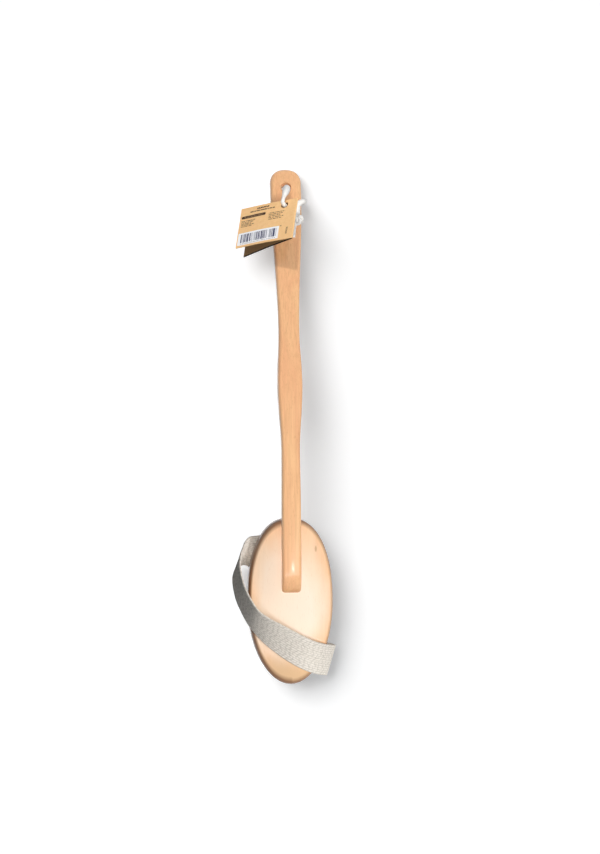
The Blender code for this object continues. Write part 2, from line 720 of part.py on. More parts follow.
def main():
    clear_scene()
    head_wood = finish("head_wood", (0.93, 0.80, 0.62), 0.45)
    handle_wood = finish("handle_wood", (0.91, 0.60, 0.35), 0.42)
    bristle = finish("bristle", (0.80, 0.68, 0.50), 0.70)
    webbing = finish("strap_webbing", (0.80, 0.76, 0.68), 0.90)
    steel = finish("tack_steel", (0.60, 0.60, 0.60), 0.35, 1.0)
    cotton = finish("cord_cotton", (0.92, 0.89, 0.83), 0.95)
    card = finish("tag_card", (0.80, 0.60, 0.38), 0.85)
    head = make_head(head_wood)
    make_bristles(bristle)
    make_handle(handle_wood)
    make_strap(webbing)
    make_tacks(head, steel)
    make_cord(cotton)
    make_knot(cotton)
    make_tag(card)


main()
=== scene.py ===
import bmesh
import bpy
import numpy as np
from mathutils import Matrix, Vector


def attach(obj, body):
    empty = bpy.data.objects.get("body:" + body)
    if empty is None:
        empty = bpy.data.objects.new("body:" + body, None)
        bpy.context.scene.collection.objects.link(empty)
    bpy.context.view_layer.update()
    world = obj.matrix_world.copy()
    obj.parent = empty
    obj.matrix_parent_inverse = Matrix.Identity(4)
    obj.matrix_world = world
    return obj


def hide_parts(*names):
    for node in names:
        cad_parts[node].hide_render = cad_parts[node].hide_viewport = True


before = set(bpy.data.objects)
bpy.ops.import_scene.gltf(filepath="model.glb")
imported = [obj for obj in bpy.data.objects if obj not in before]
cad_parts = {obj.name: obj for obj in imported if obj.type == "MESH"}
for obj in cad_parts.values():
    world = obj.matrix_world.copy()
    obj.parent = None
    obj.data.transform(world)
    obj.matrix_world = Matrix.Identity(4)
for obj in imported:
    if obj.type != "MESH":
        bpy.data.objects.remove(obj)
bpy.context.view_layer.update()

# Camera
# It looks down on the lying brush from 1.68 m, five degrees over to the handle's left, so the head's
# left side shows a little, and it is turned a touch about its own line of sight. Nothing is shifted.
LEAN, TURN, DISTANCE = np.radians(5.3), np.radians(-0.38), 1.68
AIM = np.array([0.0092, 0.1405, 0.025])
back = np.array([-np.sin(LEAN), 0.0, np.cos(LEAN)])
level = np.array([np.cos(LEAN), 0.0, np.sin(LEAN)])
right = np.cos(TURN) * level + np.sin(TURN) * np.cross(back, level)
place = Matrix(np.column_stack([right, np.cross(back, right), back]).tolist()).to_4x4()
place.translation = AIM + DISTANCE * back
camera = bpy.data.objects.new("camera", bpy.data.cameras.new("camera"))
camera.data.sensor_fit = "VERTICAL"
camera.data.sensor_height = 24.0
camera.data.lens = 58.26
camera.data.clip_end = 20.0
camera.matrix_world = place
bpy.context.scene.collection.objects.link(camera)
bpy.context.scene.camera = camera
bpy.context.scene.view_settings.view_transform = "Standard"

# Hanging cord
# Soft three-ply cotton, 3.6 mm thick. It leaves the knot on the handle's front, wraps the right edge,
# comes up through the hanging hole, and returns through both leaves of the tag to the knot.
CORD_DIAMETER = 0.0036
CORD_ROUTE = (
    (0.0087, 0.3122, 0.0228), (0.0085, 0.3160, 0.0219), (0.0089, 0.3201, 0.0206),
    (0.0107, 0.3226, 0.0201), (0.0130, 0.3235, 0.0189), (0.0147, 0.3238, 0.0158),
    (0.0151, 0.3241, 0.0117), (0.0144, 0.3247, 0.0071), (0.0115, 0.3260, 0.0039),
    (0.0074, 0.3284, 0.0028), (0.0032, 0.3319, 0.0025), (0.0008, 0.3345, 0.0042),
    (0.0000, 0.3354, 0.0091), (-0.0001, 0.3354, 0.0153), (-0.0002, 0.3346, 0.0218),
    (-0.0009, 0.3326, 0.0282), (-0.0023, 0.3290, 0.0342), (-0.0040, 0.3250, 0.0382),
    (-0.0049, 0.3216, 0.0392), (-0.0040, 0.3196, 0.0379), (-0.0026, 0.3183, 0.0358),
    (-0.0010, 0.3167, 0.0330), (0.0013, 0.3145, 0.0298), (0.0036, 0.3126, 0.0272),
    (0.0055, 0.3112, 0.0253),
)


def spline(stations, steps):
    """Catmull-Rom curve through the stations: from b to c, with a before and d after them, it is half
    of 2b + (c - a)t + (2a - 5b + 4c - d)t^2 + (3b - a - 3c + d)t^3."""
    p = np.asarray(stations, float)
    p = np.vstack([2 * p[0] - p[1], p, 2 * p[-1] - p[-2]])
    a, b, c, d = (p[k:len(p) - 3 + k, None] for k in range(4))
    t = (np.arange(steps) / steps)[None, :, None]
    curve = b + 0.5 * ((c - a) * t + (2 * a - 5 * b + 4 * c - d) * t**2 + (3 * b - a - 3 * c + d) * t**3)
    return np.vstack([curve.reshape(-1, p.shape[1]), p[-2:-1]])


def unit(vectors):
    return vectors / np.linalg.norm(vectors, axis=-1, keepdims=True)


def along(path):
    """Distance travelled at each point of the path."""
    return np.concatenate([[0.0], np.cumsum(np.linalg.norm(np.diff(path, axis=0), axis=1))])


def cross_axes(path):
    """Two unit directions square to the path at each point, carried along it with the least turning."""
    ahead = unit(np.gradient(path, axis=0))
    side = unit(np.cross(ahead[0], [0.31, 0.17, 0.94]))
    sides = []
    for direction in ahead:
        side = unit(side - side.dot(direction) * direction)
        sides.append(side)
    sides = np.array(sides)
    return sides, np.cross(ahead, sides)


def tube(path, radius, sides):
    """Grid of points round the path: path + radius * (cos(angle) * side + sin(angle) * other side). The
    radius is one number, one for each point, or a grid."""
    one, other = cross_axes(path)
    angle = np.linspace(0, 2 * np.pi, sides, endpoint=False)[None, :, None]
    radius = np.broadcast_to(np.asarray(radius, float).reshape(len(path) if np.ndim(radius) else 1, -1),
                             (len(path), sides))[..., None]
    return path[:, None] + radius * (np.cos(angle) * one[:, None] + np.sin(angle) * other[:, None])


def surface(name, grid, uv=None, around=True, caps=True, sharp=40):
    """Mesh of quads over a grid of points (rows, columns, 3). around joins the last column to the first,
    and caps put one face across the first and last rows. uv has a column more where it goes around."""
    rows, columns = grid.shape[:2]
    i, j = np.meshgrid(np.arange(rows - 1), np.arange(columns - (not around)), indexing="ij")
    near, far = i * columns + j, i * columns + (j + 1) % columns
    faces = np.stack([near, far, far + columns, near + columns], -1).reshape(-1, 4).tolist()
    if caps:
        faces += [list(range(columns))[::-1], list(range((rows - 1) * columns, rows * columns))]
    mesh = bpy.data.meshes.new(name)
    mesh.from_pydata(grid.reshape(-1, 3), [], faces)
    if uv is not None:
        corners = np.stack([uv[i, j], uv[i, j + 1], uv[i + 1, j + 1], uv[i + 1, j]], 2).reshape(-1, 2)
        flat = np.zeros((len(mesh.loops), 2))
        flat[:len(corners)] = corners
        mesh.uv_layers.new(name="UVMap").data.foreach_set("uv", flat.ravel())
    return piece(name, mesh, sharp)


def piece(name, mesh, sharp=40):
    """Object for a mesh, smooth but for edges sharper than the angle."""
    mesh.validate()
    mesh.shade_smooth()
    mesh.set_sharp_from_angle(angle=np.radians(sharp))
    thing = bpy.data.objects.new(name, mesh)
    bpy.context.scene.collection.objects.link(thing)
    return thing


def plait(path, radius, sides, plies=3, pitch=0.0085, depth=0.16):
    """Tube grid and uv of a twisted cord: the radius swings with |cos(plies / 2 * (angle - turn))|^0.7, and
    the turn is one round for each pitch of length."""
    run = along(path)
    angle = np.linspace(0, 2 * np.pi, sides, endpoint=False)
    turn = 2 * np.pi * run / pitch
    lobes = np.abs(np.cos(plies / 2 * (angle[None] - turn[:, None]))) ** 0.7
    thick = np.broadcast_to(radius, (len(path),))[:, None] * (1 - depth + depth * lobes)
    uv = np.stack(np.meshgrid(run / pitch, np.arange(sides + 1) / sides, indexing="ij"), -1)
    return tube(path, thick, sides), uv


class Socket:
    """One output of a node. Arithmetic on it adds Math nodes."""

    def __init__(self, paint, output):
        self.paint, self.output = paint, output

    def math(self, operation, *others):
        return self.paint.node("ShaderNodeMath", {"operation": operation}, dict(enumerate((self, *others))))

    def __add__(self, other): return self.math("ADD", other)
    def __sub__(self, other): return self.math("SUBTRACT", other)
    def __mul__(self, other): return self.math("MULTIPLY", other)
    def __rsub__(self, other): return (self * -1.0) + other
    __radd__ = __add__
    __rmul__ = __mul__

    def band(self, low, high):
        """1 between the two values and 0 outside."""
        return self.math("GREATER_THAN", low) * self.math("LESS_THAN", high)


class Paint:
    """A material, with its Principled shader as .shader."""

    def __init__(self, name, roughness):
        self.material = bpy.data.materials.new(name)
        self.material.use_nodes = True
        self.tree = self.material.node_tree
        self.shader = self.tree.nodes["Principled BSDF"]
        self.shader.inputs["Roughness"].default_value = roughness

    def node(self, kind, settings=None, inputs=None, output=0):
        """Add a node: its settings first, then the value or link of each input, by name or number."""
        made = self.tree.nodes.new(kind)
        for key, value in (settings or {}).items():
            if key == "stops":
                ramp = made.color_ramp.elements
                for k, (position, colour) in enumerate(value):
                    stop = ramp[k] if k < 2 else ramp.new(position)
                    stop.position = position
                    stop.color = (*colour, 1.0) if np.ndim(colour) else (colour, colour, colour, 1.0)
            else:
                setattr(made, key, value)
        for key, value in (inputs or {}).items():
            self.feed(made.inputs[key], value)
        return Socket(self, made.outputs[output])

    def feed(self, slot, value):
        if isinstance(value, Socket):
            self.tree.links.new(value.output, slot)
        else:
            slot.default_value = value

    def mix(self, share, first, second, blend="MIX"):
        """Colour between the first and the second by the share, or the second blended over the first."""
        first, second = ((*c, 1.0) if isinstance(c, tuple) else c for c in (first, second))
        return self.node("ShaderNodeMix", {"data_type": "RGBA", "blend_type": blend},
                         {0: share, 6: first, 7: second}, 2)

    def coordinates(self, source, scale=(1, 1, 1), turn=(0, 0, 0), shift=(0, 0, 0)):
        """Object or UV coordinates, scaled, turned and shifted."""
        start = self.node("ShaderNodeTexCoord", output=source)
        return self.node("ShaderNodeMapping", None,
                         {"Vector": start, "Scale": scale, "Rotation": turn, "Location": shift})

    def away(self, scale, turn=(0, 0, 0), shift=(0, 0, 0)):
        """Distance from the origin of the scaled, turned and shifted object coordinates."""
        return self.node("ShaderNodeVectorMath", {"operation": "LENGTH"},
                         {0: self.coordinates("Object", scale, turn, shift)}, "Value")

    def uv(self):
        """The two UV coordinates."""
        split = self.node("ShaderNodeSeparateXYZ", None, {0: self.coordinates("UV")}).output.node.outputs
        return Socket(self, split[0]), Socket(self, split[1])

    def line_noise(self, position, scale, detail=0.0):
        """Noise that changes in one direction only."""
        return self.node("ShaderNodeTexNoise", {"noise_dimensions": "1D"},
                         {"W": position, "Scale": scale, "Detail": detail}, "Fac")

    def noise(self, vector, scale, detail=2.0, roughness=0.5, distortion=0.0):
        return self.node("ShaderNodeTexNoise", None, {"Vector": vector, "Scale": scale, "Detail": detail,
                         "Roughness": roughness, "Distortion": distortion}, "Fac")

    def ramp(self, value, *stops):
        return self.node("ShaderNodeValToRGB", {"stops": stops}, {"Fac": value})

    def bump(self, height, distance, strength=1.0, under=None):
        inputs = {"Height": height, "Distance": distance, "Strength": strength}
        if under:
            inputs["Normal"] = under
        return self.node("ShaderNodeBump", None, inputs)

    def finish(self, **links):
        """Feed the shader's sockets, named with _ for a space."""
        for key, value in links.items():
            self.feed(self.shader.inputs[key.replace("_", " ")], value)
        return self.material


def wear(thing, material, slot, body, *replaced):
    """Give a piece its material, the body it rides on and the nodes it replaces. The slot argument is not used.
    """
    thing.data.materials.clear()
    thing.data.materials.append(material)
    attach(thing, body)
    if replaced:
        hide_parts(*replaced)


def cotton(name, plies_bump):
    """Undyed cotton yarn: nearly white, with painted shade that greys it where the fibre bump sinks, and a fine
    fuzz.
    """
    paint = Paint(name, 0.95)
    place = paint.coordinates("Object")
    fibres = paint.noise(paint.coordinates("UV", (14, 60, 1)), 1.0, 3.0, 0.7)
    fuzz = paint.noise(place, 2600.0, 2.0, 0.7)
    # Painted shade: greyer where the fibre bump sinks.
    tint = paint.ramp(fibres, (0.2, (0.87, 0.83, 0.76)), (0.5, (0.97, 0.95, 0.91)), (0.8, (1.0, 0.99, 0.97)))
    normal = paint.bump(fuzz, 0.0002, 0.5, paint.bump(fibres, 0.0004, plies_bump))
    paint.shader.inputs["Specular IOR Level"].default_value = 0.25
    paint.shader.inputs["Sheen Weight"].default_value = 0.25
    paint.shader.inputs["Sheen Roughness"].default_value = 0.6
    return paint.finish(Base_Color=tint, Normal=normal)


cord_path = spline(CORD_ROUTE, 8)
cord_run = along(cord_path) / along(cord_path)[-1]
# Fuller where the cotton is fluffed and slimmer beside the tag: how much more, where along it, how far.
PLUMP = ((0.78, 0.655, 0.09), (-0.24, 0.78, 0.035), (0.38, 0.07, 0.13))
plump = 1 + sum(more * np.exp(-((cord_run - where) / reach) ** 2) for more, where, reach in PLUMP)
cord_grid, cord_uv = plait(cord_path, CORD_DIAMETER / 2 * plump, 30)
cord = surface("cotton_cord", cord_grid, cord_uv)
cord_cotton = cotton("cord_cotton", 0.6)
wear(cord, cord_cotton, "cord_cotton", "handle_body", "hanging_cord")

# Knot and tail
# Both ends of the cord are tied in one overhand knot on the handle's front, and a short tail with
# loose fibres hangs out of it towards the head.
KNOT_PLACE = np.array([0.0088, 0.3087, 0.0244])
KNOT_SIZE, KNOT_RADIUS, TAIL_RADIUS = 0.00098, 0.0018, 0.00155
TAIL_ROUTE = ((0.0073, 0.3073, 0.0243), (0.0060, 0.3038, 0.0249), (0.0053, 0.2999, 0.0257),
              (0.0050, 0.2954, 0.0269))
LOOSE_FIBRES = 26
t = np.linspace(0, 2 * np.pi, 145)[:-1]
loops = np.stack([(2 + np.cos(3 * t)) * np.cos(2 * t), 1.15 * (2 + np.cos(3 * t)) * np.sin(2 * t),
                  1.1 * np.sin(3 * t)], -1) * KNOT_SIZE
knot_path = KNOT_PLACE + np.vstack([loops, loops[:1]])
knot_grid, knot_uv = plait(knot_path, KNOT_RADIUS, 20)
knot = surface("cord_knot_loops", knot_grid, knot_uv)
tail_path = spline(TAIL_ROUTE, 10)
tail_grid, tail_uv = plait(tail_path, TAIL_RADIUS, 20)
tail = surface("cord_tail", tail_grid, tail_uv)
rng = np.random.default_rng(7)
fibre_starts = tail_path[-2] + rng.normal(0, 0.0006, (LOOSE_FIBRES, 3)) * [1, 0.3, 1]
fibre_ends = (fibre_starts + [0, -0.0020, 0.0007]
              + rng.normal(0, 0.0007, (LOOSE_FIBRES, 3)) * [1, 0.8, 0.7])
strands = [tube(np.linspace(a, b, 4), np.array([0.00022, 0.0002, 0.00016, 0.00008]), 5)
           for a, b in zip(fibre_starts, fibre_ends)]
fray = [surface("cord_fibre", strand, np.zeros((4, 6, 2))) for strand in strands]


def join(first, *others):
    """Make several pieces one."""
    with bpy.context.temp_override(active_object=first, object=first,
                                   selected_editable_objects=[first, *others]):
        bpy.ops.object.join()
    return first


join(knot, tail, *fray)
wear(knot, cord_cotton, "cord_cotton", "handle_body", "cord_knot")

# Head
# An oval block of pale, close-grained wood under satin lacquer: a low crown, a soft edge all round and
# a dovetail slot sawn into the back from the handle's side.
HEAD_HALF = (0.0345, 0.067)
HEAD_UNDER, HEAD_EDGE, HEAD_CROWN = 0.018, 0.0335, 0.0025
TOP_ROUND, UNDER_ROUND = 0.004, 0.0015
SLOT_START, SLOT_FLOOR, SLOT_NECK_Z, SLOT_TOP = 0.0113, 0.0308, 0.0363, 0.040
SLOT_NECK, SLOT_BASE = 0.0036, 0.0049


def fullness(y):
    """Power n of the head's outline |x / a|^n + |y / b|^n = 1, which is fuller towards the handle."""
    return np.where(y > 0, 2.3, 2.0)


def oval(inset, count=112):
    """Outline of the head moved inwards by each inset."""
    angle = np.linspace(0, 2 * np.pi, count, endpoint=False)
    c, s = np.cos(angle), np.sin(angle)
    power = fullness(s)
    inset = np.asarray(inset)[..., None]
    return np.stack([(HEAD_HALF[0] - inset) * np.sign(c) * np.abs(c) ** (2 / power),
                     (HEAD_HALF[1] - inset) * np.sign(s) * np.abs(s) ** (2 / power)], -1)


def prism(name, section, low, high):
    """Solid with a section of (x, z) points, from y = low to y = high."""
    section = np.asarray(section)
    ends = [np.column_stack([section[:, 0], np.full(len(section), y), section[:, 1]]) for y in (low, high)]
    return surface(name, np.array(ends))


def carve(thing, tool, operation="DIFFERENCE", sharp=30):
    """Cut the tool out of a piece, or weld it on, and remove the tool."""
    for each in (thing, tool):
        fixed = bmesh.new()
        fixed.from_mesh(each.data)
        bmesh.ops.recalc_face_normals(fixed, faces=fixed.faces[:])
        fixed.to_mesh(each.data)
        fixed.free()
    step = thing.modifiers.new("carve", "BOOLEAN")
    step.operation, step.solver, step.object = operation, "EXACT", tool
    result = bpy.data.meshes.new_from_object(thing.evaluated_get(bpy.context.evaluated_depsgraph_get()))
    thing.modifiers.clear()
    thing.data = result
    bpy.data.objects.remove(tool, do_unlink=True)
    result.shade_smooth()
    result.set_sharp_from_angle(angle=np.radians(sharp))


bend = np.linspace(0, np.pi / 2, 7)
inset = np.concatenate([
    UNDER_ROUND * (1 - np.sin(bend)),
    TOP_ROUND * (1 - np.cos(bend[1:])),
    TOP_ROUND + (HEAD_HALF[0] - TOP_ROUND) * np.array([0.06, 0.14, 0.24, 0.36, 0.5, 0.64, 0.78, 0.9, 0.985]),
])
share = np.clip((inset[2 * len(bend) - 1:] - TOP_ROUND) / (HEAD_HALF[0] - TOP_ROUND), 0, 1)
height = np.concatenate([
    HEAD_UNDER + UNDER_ROUND * (1 - np.cos(bend)),
    HEAD_EDGE - TOP_ROUND * (1 - np.sin(bend[1:])),
    HEAD_EDGE + HEAD_CROWN * (1 - (1 - share) ** 2),
])
rings = oval(inset)
levels = np.broadcast_to(height[:, None, None], (*rings.shape[:2], 1))
head = surface("head_block", np.concatenate([rings, levels], -1))
carve(head, prism("slot", ((-SLOT_BASE, SLOT_FLOOR), (SLOT_BASE, SLOT_FLOOR), (SLOT_NECK, SLOT_NECK_Z),
                           (SLOT_NECK, SLOT_TOP), (-SLOT_NECK, SLOT_TOP), (-SLOT_NECK, SLOT_NECK_Z)),
                  SLOT_START, 0.07))
# Reach and shift of the head's pale middle zone: paler wood, and a painted reflection of the overhead light in
# the lacquer.
PALE_GLARE_REACH, PALE_GLARE_SHIFT = (0.038, 0.064), (0.05, -0.03, 0)


def timber(name, pale, mid, dark, roughness, grain=1.0, flecks=1.0, cloud=0.5, pale_wood_and_glare=None):
    """Lacquered wood whose grain runs along Y: broad soft bands, fine streaks and short dark flecks, with a
    hint of relief under the lacquer. The last argument is the colour of a pale zone over the middle: paler
    wood, and a painted reflection of the overhead light in the lacquer."""
    paint = Paint(name, roughness)
    bands = paint.noise(paint.coordinates("Object", (95, 7, 95)), 1.0, 3.0, 0.55, 0.8)
    streaks = paint.noise(paint.coordinates("Object", (900, 26, 900)), 1.0, 4.0, 0.6, 0.2)
    fleck = paint.noise(paint.coordinates("Object", (2300, 210, 2300), shift=(3, 1, 7)), 1.0, 1.0)
    clouds = paint.noise(paint.coordinates("Object", (38, 22, 38), shift=(5, 2, 1)), 1.0, 2.0)
    tint = paint.mix(paint.ramp(bands, (0.30, 0.0), (0.72, 1.0)), pale, mid)
    tint = paint.mix(paint.ramp(streaks, (0.42, 0.0), (0.78, 0.45 * grain)), tint, dark)
    tint = paint.mix(paint.ramp(clouds, (0.45, 0.0), (0.75, cloud)), tint, mid)
    # The pale zone over the middle is paler wood and painted reflection.
    if pale_wood_and_glare:
        away = paint.away((1 / PALE_GLARE_REACH[0], 1 / PALE_GLARE_REACH[1], 0), shift=PALE_GLARE_SHIFT)
        tint = paint.mix(paint.ramp(away + (clouds - 0.5) * 0.5, (0.55, 0.85), (1.15, 0.0)), tint, pale_wood_and_glare)
    spots = paint.ramp(fleck, (0.66, 0.0), (0.72, 0.5 * flecks))
    tint = paint.mix(spots, tint, dark)
    normal = paint.bump(streaks, 0.00004, 0.5, paint.bump(bands, 0.0002, 0.15))
    paint.shader.inputs["Coat Roughness"].default_value = 0.14
    paint.shader.inputs["IOR"].default_value = 1.45
    return paint, tint, normal


head_points = np.empty(len(head.data.vertices) * 3)
head.data.vertices.foreach_get("co", head_points)
x, y = head_points.reshape(-1, 3)[:, :2].T
power = fullness(y)
out = (np.abs(x / HEAD_HALF[0]) ** power + np.abs(y / HEAD_HALF[1]) ** power) ** (1 / power)
# Painted shade: rim darkens the head's rounded edge all round, and more and wider on the left, the side turned
# from the lamps.
rim = np.clip((out * HEAD_HALF[0] - HEAD_HALF[0] + TOP_ROUND) / TOP_ROUND, 0, 1) ** np.where(x < 0, 0.9, 1.4)
rim *= 0.84 - 0.22 * x / HEAD_HALF[0]
head.data.attributes.new("rim", "FLOAT", "POINT").data.foreach_set("value", rim)
# Painted shade: end darkens the far end of the head beyond the strap, standing in for the strap's shadow and
# the weaker light there.
head.data.attributes.new("end", "FLOAT", "POINT").data.foreach_set("value", np.clip((-y - 0.040) / 0.016, 0, 1))
# The last colour is the pale middle zone: paler wood and painted reflection of the overhead light.
paint, tint, normal = timber("head_wood", (0.91, 0.60, 0.35), (0.88, 0.51, 0.27), (0.60, 0.32, 0.14),
                             0.42, 0.5, 0.4, pale_wood_and_glare=(0.87, 0.72, 0.57))
# Painted shadow of the strap over the head's far end.
end = paint.node("ShaderNodeAttribute", {"attribute_name": "end"}, output="Fac")
tint = paint.mix(paint.ramp(end, (0.0, 0.0), (1.0, 0.9)), tint, (0.73, 0.47, 0.25))
# Painted shade on the rounded edge, darkest on the left.
edge = paint.node("ShaderNodeAttribute", {"attribute_name": "rim"}, output="Fac")
tint = paint.mix(paint.ramp(edge, (0.18, 0.0), (0.62, 0.93)), tint, (0.20, 0.08, 0.025))
knot_mark = paint.away((900, 330, 0), (0, 0, 0.2), (-15.3, -17.3, 0))
tint = paint.mix(paint.ramp(knot_mark, (0.5, 0.55), (1.0, 0.0)), tint, (0.40, 0.20, 0.08))
wear(head, paint.finish(Base_Color=tint, Normal=normal, Coat_Weight=0.7), "head_wood", "head_body", "head")

# Handle
# One bowed bar of pinkish brown hardwood with a swell for the hand, a hanging hole near the rounded tip
# and a curved nose. The dovetail tongue under its end slides into the head.
NOSE_Y, TIP_Y = 0.0075, 0.351
SEAT_Y, SEAT_Z = 0.070, 0.0363
PLACES = np.array([0.070, 0.120, 0.175, 0.217, 0.332])
WIDTHS = np.array([0.0154, 0.0148, 0.0198, 0.0168, 0.0250])
THICKNESSES = np.array([0.0122, 0.0108, 0.0142, 0.0098, 0.0105])
BOW_LEVEL, TIP_LEVEL = SEAT_Z + 0.0061, 0.00525
BOW_RUN, BOW_DROP = TIP_Y - 0.0019 - SEAT_Y, BOW_LEVEL - TIP_LEVEL
BOW_RADIUS = (BOW_RUN**2 + BOW_DROP**2) / (2 * BOW_DROP)
EDGE_ROUND, TIP_ROUND, NOSE_LENGTH, NOSE_LIP, NOSE_CORNER = 0.0026, 0.0118, 0.017, 0.003, 0.0035
TONGUE_NECK, TONGUE_BASE, TONGUE_SPAN = 0.0033, 0.0046, (0.0116, 0.0536)
TONGUE_FLOOR, TONGUE_TOP = SEAT_Z - 0.0052, SEAT_Z + 0.002
HOLE_Y, HOLE_RADIUS = 0.3348, 0.0037
RING_RADIUS, RING_SHIFT = 0.0045, 0.0005


def eased(y, sizes):
    """Size at y, easing from place to place with (1 - cos(pi t)) / 2."""
    y = np.clip(y, PLACES[0], PLACES[-1])
    k = np.clip(np.searchsorted(PLACES, y) - 1, 0, len(PLACES) - 2)
    t = (y - PLACES[k]) / (PLACES[k + 1] - PLACES[k])
    return sizes[k] + (sizes[k + 1] - sizes[k]) * (1 - np.cos(np.pi * t)) / 2


def bow(y):
    """Height of the handle's middle: level over the head, then an arc down to the table."""
    run = np.maximum(y - SEAT_Y, 0)
    return BOW_LEVEL - (BOW_RADIUS - np.sqrt(BOW_RADIUS**2 - run**2))


def shaft(y, arc=9):
    """Rounded-rectangle sections across the handle at each y: the corner's centre plus its radius times
    (cos, sin), with three points on each flat between the corners."""
    from_tip, from_nose = TIP_Y - y, y - NOSE_Y
    width, thickness = eased(y, WIDTHS), eased(y, THICKNESSES)
    nearness = np.clip(1 - from_tip / TIP_ROUND, 0, 1)
    width = width * (1 - nearness**2.3) ** (1 / 2.3)
    corner = np.clip(1 - from_nose / NOSE_CORNER, 0, 1)
    width = width * (0.72 + 0.28 * np.sqrt(1 - corner**2))
    low = bow(y) - thickness / 2
    high = low + thickness
    rim = np.clip(EDGE_ROUND - from_tip, 0, EDGE_ROUND)
    drop = EDGE_ROUND - np.sqrt(EDGE_ROUND**2 - rim**2)
    low, high = low + drop, high - drop
    curve = np.clip(1 - from_nose / NOSE_LENGTH, 0, 1)
    high = np.where(curve > 0, low + NOSE_LIP + (thickness - NOSE_LIP) * np.sqrt(1 - curve**2), high)
    radius = np.minimum(EDGE_ROUND, np.minimum(0.45 * (high - low), 0.45 * width))[:, None]
    table = []
    for across, up, start in ((1, 1, 0), (-1, 1, 90), (-1, -1, 180), (1, -1, 270)):
        turn = np.radians(np.linspace(start, start + 90, arc))
        table += [(across, up, c, s) for c, s in zip(np.cos(turn), np.sin(turn))]
        step = (-1, 0) if start == 0 else (0, -1) if start == 90 else (1, 0) if start == 180 else (0, 1)
        for gone in (0.25, 1.0, 1.75):
            table.append((across + step[0] * gone, up + step[1] * gone, np.cos(turn[-1]), np.sin(turn[-1])))
    across, up, c, s = np.array(table).T[:, None]
    half, tall, middle = width[:, None] / 2, (high - low)[:, None] / 2, (high + low)[:, None] / 2
    crown = 0.0002 * np.clip(up, 0, 1) * np.clip(1 - across**2, 0, 1)
    x = across * (half - radius) + radius * c
    z = middle + up * (tall - radius) + radius * s + crown
    return np.stack([x, np.broadcast_to(y[:, None], x.shape), z], -1)


near_nose = NOSE_Y + NOSE_LENGTH * np.linspace(0, 1, 18) ** 1.7
near_tip = TIP_Y - TIP_ROUND * (0.002 + 0.998 * np.linspace(1, 0, 20) ** 2)
stations = np.concatenate([near_nose, np.linspace(near_nose[-1], near_tip[0], 112)[1:-1], near_tip])
handle = surface("handle_bar", shaft(stations))
carve(handle, prism("tongue", ((-TONGUE_BASE, TONGUE_FLOOR), (TONGUE_BASE, TONGUE_FLOOR),
                               (TONGUE_NECK, SEAT_Z), (TONGUE_NECK, TONGUE_TOP),
                               (-TONGUE_NECK, TONGUE_TOP), (-TONGUE_NECK, SEAT_Z)), *TONGUE_SPAN), "UNION")
slope = np.arcsin((HOLE_Y - SEAT_Y) / BOW_RADIUS)
down_hole = np.array([0.0, np.sin(slope), np.cos(slope)])
depth = np.array([-0.0075, -0.00505, -0.0047, -0.0043, 0.0043, 0.0047, 0.00505, 0.0075])
flare = HOLE_RADIUS + np.array([0.0026, 0.0006, 0.0002, 0.0, 0.0, 0.0002, 0.0006, 0.0026])
drill = np.array([0.0, HOLE_Y, bow(HOLE_Y)]) + depth[:, None] * down_hole
carve(handle, surface("drill", tube(drill, flare, 48)))
paint, tint, normal = timber("handle_wood", (0.93, 0.55, 0.265), (0.87, 0.445, 0.22), (0.54, 0.23, 0.09),
                             0.48, 0.9, 0.8)
ring = paint.away((1 / RING_RADIUS, 1 / RING_RADIUS, 0), shift=(0, -(HOLE_Y + RING_SHIFT) / RING_RADIUS, 0))
tint = paint.mix(paint.ramp(ring, (0.84, 0.0), (0.95, 0.5), (1.05, 0.5), (1.16, 0.0)), tint, (0.50, 0.20, 0.08))
wear(handle, paint.finish(Base_Color=tint, Normal=normal, Coat_Weight=0.8),
     "handle_wood", "handle_body", "handle")

# Bristles
# Tufts of blond natural bristle in rows under the head, trimmed level. Every tuft is a bundle of fine
# tapering hairs that spread a little towards the tips. The holes that hold them are not modelled.
TUFT_INSET, ROW_GAP, TUFT_GAP = 0.0112, 0.0059, 0.0062
HAIRS, GOLDEN_ANGLE = 20, 2.39996
CLOSEST, ROOT_SPREAD, TIP_SPREAD = 0.0045, 0.0010, 0.0019
HAIR_BEND, BEND_Z = 0.45, 0.0100


def even_oval(inset, spacing):
    """Points evenly spaced round the head's outline moved in by the inset."""
    ring = oval(inset, 720)
    ring = np.vstack([ring, ring[:1]])
    run = along(ring)
    at = np.arange(round(run[-1] / spacing)) * run[-1] / round(run[-1] / spacing)
    return np.column_stack([np.interp(at, run, ring[:, k]) for k in (0, 1)])


rows = [(even_oval(TUFT_INSET + k * ROW_GAP, TUFT_GAP), 0.0012 * (1 - k / 4)) for k in range(4)]
centre_row = np.column_stack([np.zeros(11), np.arange(-5, 6) * TUFT_GAP - 0.0016])
tufts = np.vstack([np.column_stack([points, np.full(len(points), lean)])
                   for points, lean in rows + [(centre_row, 0.0)]])
apart = (np.linalg.norm(tufts[:, None, :2] - tufts[None, :, :2], axis=2)
         + 1.0 * np.triu(np.ones((len(tufts),) * 2)))
tufts = tufts[apart.min(axis=1) > CLOSEST]
count = len(tufts) * HAIRS
tuft = np.repeat(tufts, HAIRS, axis=0)
golden = np.tile(np.arange(HAIRS) * GOLDEN_ANGLE, len(tufts)) + rng.uniform(0, 0.5, count)
reach = np.tile(np.sqrt((np.arange(HAIRS) + 0.5) / HAIRS), len(tufts))
spoke = np.stack([np.cos(golden), np.sin(golden)], -1) * reach[:, None]
outward = unit(tuft[:, :2] * [1, 0.5] + 1e-6) * tuft[:, 2:]
root = tuft[:, :2] + spoke * ROOT_SPREAD
tip = tuft[:, :2] + spoke * TIP_SPREAD + outward + rng.normal(0, 0.00012, (count, 2))
